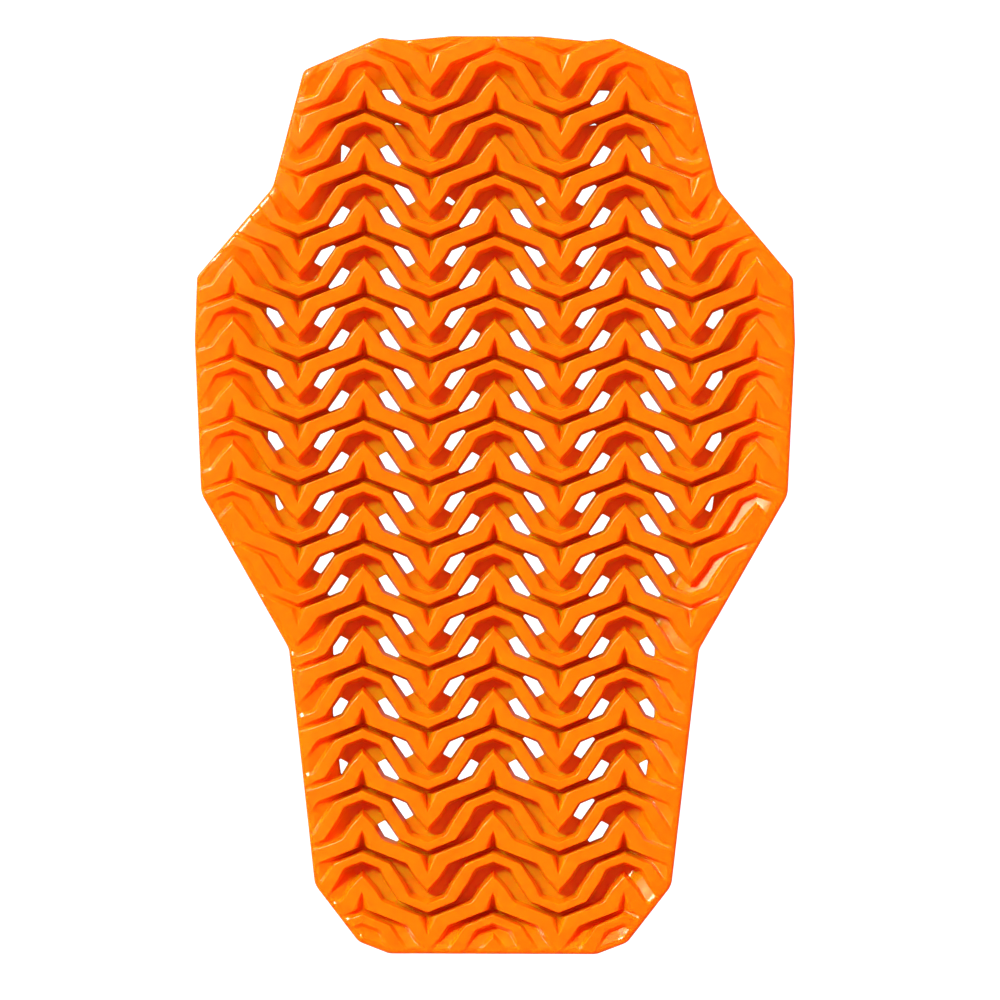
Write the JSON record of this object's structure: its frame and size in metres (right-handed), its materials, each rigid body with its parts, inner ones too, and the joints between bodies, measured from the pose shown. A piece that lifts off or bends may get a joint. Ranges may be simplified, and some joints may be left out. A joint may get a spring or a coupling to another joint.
{
  "type": "back protector pad",
  "caption": "Moulded foam back protector pad with chevron ribs, channels between them that run out towards a rounded rim, and vents through the channel floors.",
  "frame": {"origin": "middle of the plain back face, at the middle of the pad's width and height", "axes": "+X across the back, +Y up the back towards the neck, +Z out of the ribbed front face"},
  "size_m": [0.2884, 0.441, 0.015],
  "materials": {
    "elastomer_foam": "semi-gloss orange moulded elastomer foam with a closed skin"
  },
  "bodies": {
    "root": {"protector_pad": "elastomer_foam"}
  },
  "joints": []
}
